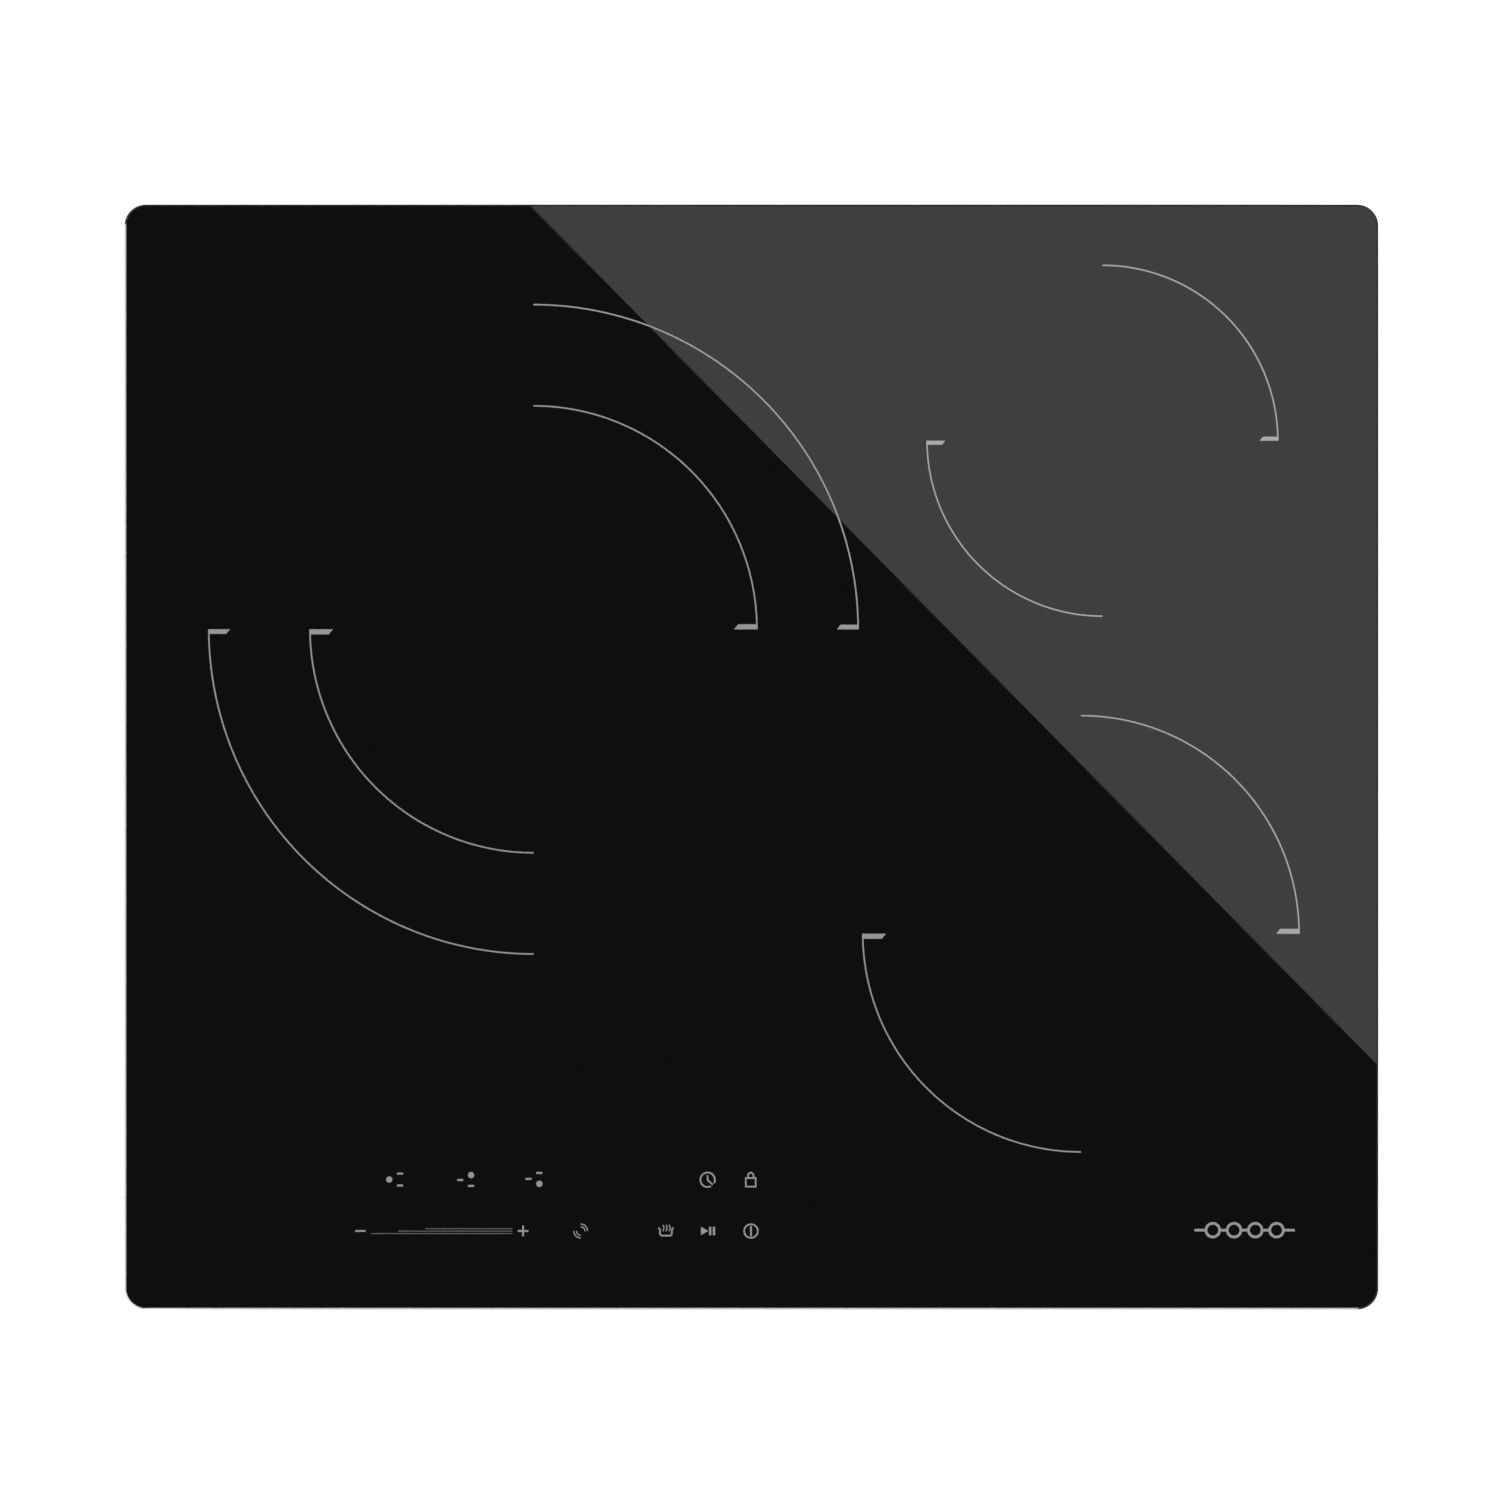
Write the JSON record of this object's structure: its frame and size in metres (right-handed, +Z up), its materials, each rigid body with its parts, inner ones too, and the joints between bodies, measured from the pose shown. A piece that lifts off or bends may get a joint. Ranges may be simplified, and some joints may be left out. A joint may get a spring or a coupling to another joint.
{
  "type": "built-in induction cooktop",
  "caption": "Flat black glass induction hob with printed cooking zones and touch controls on a stepped steel case that drops into a worktop cut-out.",
  "frame": {"origin": "centre of the base, at the level of the pressed feet", "axes": "+Z up through the glass, +X to the right of a person at the controls, +Y to the rear"},
  "size_m": [0.59, 0.52, 0.058],
  "materials": {
    "black_glass": "polished black glass-ceramic",
    "printed_enamel": "fired light grey enamel",
    "foam_seal": "closed-cell foam",
    "silicone": "grey silicone bead",
    "zinc_sheet": "zinc-coated sheet steel",
    "yellow_zinc": "yellow passivated",
    "bright_steel": "zinc-plated",
    "light_plastic": "moulded",
    "white_plastic": "moulded",
    "black_rubber": "moulded",
    "brass_posts": "turned",
    "green_board": "solder mask",
    "dark_plastic": "fine moulded grain",
    "black_plastic": "moulded",
    "contact_foam": "conductive foam",
    "display_black": "smoked",
    "grey_cable": "ribbed flat cable",
    "black_resin": "moulded epoxy",
    "yellow_film": "moulded",
    "enamelled_copper": "varnished",
    "blue_plastic": "moulded",
    "red_silicone": "wire jacket",
    "aluminium_sheet": "mill finish",
    "aluminium_extrusion": "extruded",
    "cream_plastic": "moulded",
    "litz_copper": "twisted enamelled strands",
    "ferrite": "sintered",
    "mica": "pressed flakes",
    "sensor_ceramic": "fired"
  },
  "bodies": {
    "case": {"glass_panel": "black_glass", "glass_print": "printed_enamel", "rim_gasket": "foam_seal", "glass_bond": "silicone", "bottom_case": "zinc_sheet", "rivet_nuts": "yellow_zinc", "case_screws": "bright_steel", "terminal_housing": "light_plastic", "terminal_block": "white_plastic", "cable_gland": "black_rubber", "cable_clamp": "light_plastic", "coil_carrier_left": "aluminium_sheet", "coil_carrier_right": "aluminium_sheet", "carrier_posts": "brass_posts", "coil_former_left": "cream_plastic", "coil_former_rear": "cream_plastic", "coil_former_front": "cream_plastic", "winding_left_inner": "litz_copper", "winding_left_outer": "litz_copper", "winding_rear": "litz_copper", "winding_front": "litz_copper", "ferrite_bars_left": "ferrite", "ferrite_bars_rear": "ferrite", "ferrite_bars_front": "ferrite", "mica_sheet_left": "mica", "mica_sheet_rear": "mica", "mica_sheet_front": "mica", "sensor_spring_left": "bright_steel", "sensor_spring_rear": "bright_steel", "sensor_spring_front": "bright_steel", "control_board": "green_board", "control_holder": "dark_plastic", "touch_contacts": "contact_foam", "display_modules": "display_black", "ribbon_cable": "grey_cable", "power_board_left": "green_board", "power_board_right": "green_board", "heatsink_left": "aluminium_extrusion", "heatsink_right": "aluminium_extrusion", "power_transistors": "black_resin", "capacitors": "yellow_film", "filter_choke": "enamelled_copper", "relays": "blue_plastic", "wiring": "red_silicone", "fan_housing_left": "dark_plastic", "fan_housing_right": "dark_plastic"},
    "fan_rotor_left": {"fan_rotor_left": "black_plastic"},
    "fan_rotor_right": {"fan_rotor_right": "black_plastic"},
    "clamp_screw_fl": {"clamp_screw_fl": "bright_steel"},
    "clamp_bracket_fl": {"clamp_bracket_fl": "bright_steel"},
    "clamp_screw_fr": {"clamp_screw_fr": "bright_steel"},
    "clamp_bracket_fr": {"clamp_bracket_fr": "bright_steel"},
    "clamp_screw_rl": {"clamp_screw_rl": "bright_steel"},
    "clamp_bracket_rl": {"clamp_bracket_rl": "bright_steel"},
    "clamp_screw_rr": {"clamp_screw_rr": "bright_steel"},
    "clamp_bracket_rr": {"clamp_bracket_rr": "bright_steel"},
    "sensor_left": {"sensor_left": "sensor_ceramic"},
    "sensor_rear": {"sensor_rear": "sensor_ceramic"},
    "sensor_front": {"sensor_front": "sensor_ceramic"},
    "terminal_cover": {"terminal_cover": "dark_plastic"}
  },
  "joints": [
    {"name": "fan_spin_left", "type": "hinge", "parent": "case", "child": "fan_rotor_left", "pos_m": [-0.15, -0.14, 0.012], "axis": [0, 0, 1], "continuous": true},
    {"name": "fan_spin_right", "type": "hinge", "parent": "case", "child": "fan_rotor_right", "pos_m": [0.15, -0.14, 0.012], "axis": [0, 0, 1], "continuous": true},
    {"name": "screw_travel_fl", "type": "slide", "parent": "case", "child": "clamp_screw_fl", "axis": [0, 0, 1], "range_m": [-0.013, 0]},
    {"name": "bracket_swing_fl", "type": "hinge", "parent": "clamp_screw_fl", "child": "clamp_bracket_fl", "pos_m": [-0.266, -0.15, 0.017], "axis": [0, 0, 1], "range_deg": [0, 90]},
    {"name": "screw_travel_fr", "type": "slide", "parent": "case", "child": "clamp_screw_fr", "axis": [0, 0, 1], "range_m": [-0.013, 0]},
    {"name": "bracket_swing_fr", "type": "hinge", "parent": "clamp_screw_fr", "child": "clamp_bracket_fr", "pos_m": [0.266, -0.15, 0.017], "axis": [0, 0, 1], "range_deg": [-90, 0]},
    {"name": "screw_travel_rl", "type": "slide", "parent": "case", "child": "clamp_screw_rl", "axis": [0, 0, 1], "range_m": [-0.013, 0]},
    {"name": "bracket_swing_rl", "type": "hinge", "parent": "clamp_screw_rl", "child": "clamp_bracket_rl", "pos_m": [-0.266, 0.15, 0.017], "axis": [0, 0, 1], "range_deg": [-90, 0]},
    {"name": "screw_travel_rr", "type": "slide", "parent": "case", "child": "clamp_screw_rr", "axis": [0, 0, 1], "range_m": [-0.013, 0]},
    {"name": "bracket_swing_rr", "type": "hinge", "parent": "clamp_screw_rr", "child": "clamp_bracket_rr", "pos_m": [0.266, 0.15, 0.017], "axis": [0, 0, 1], "range_deg": [0, 90]},
    {"name": "sensor_press_left", "type": "slide", "parent": "case", "child": "sensor_left", "axis": [0, 0, 1], "range_m": [-0.0025, 0], "stiffness_N_per_m": 400, "springref_m": 0.0005, "deforming": ["sensor_spring_left"]},
    {"name": "sensor_press_rear", "type": "slide", "parent": "case", "child": "sensor_rear", "axis": [0, 0, 1], "range_m": [-0.0025, 0], "stiffness_N_per_m": 400, "springref_m": 0.0005, "deforming": ["sensor_spring_rear"]},
    {"name": "sensor_press_front", "type": "slide", "parent": "case", "child": "sensor_front", "axis": [0, 0, 1], "range_m": [-0.0025, 0], "stiffness_N_per_m": 400, "springref_m": 0.0005, "deforming": ["sensor_spring_front"]},
    {"name": "terminal_cover_hinge", "type": "hinge", "parent": "case", "child": "terminal_cover", "pos_m": [0.178, 0.155, 0.0052], "axis": [1, 0, 0], "range_deg": [-90, 0]}
  ]
}
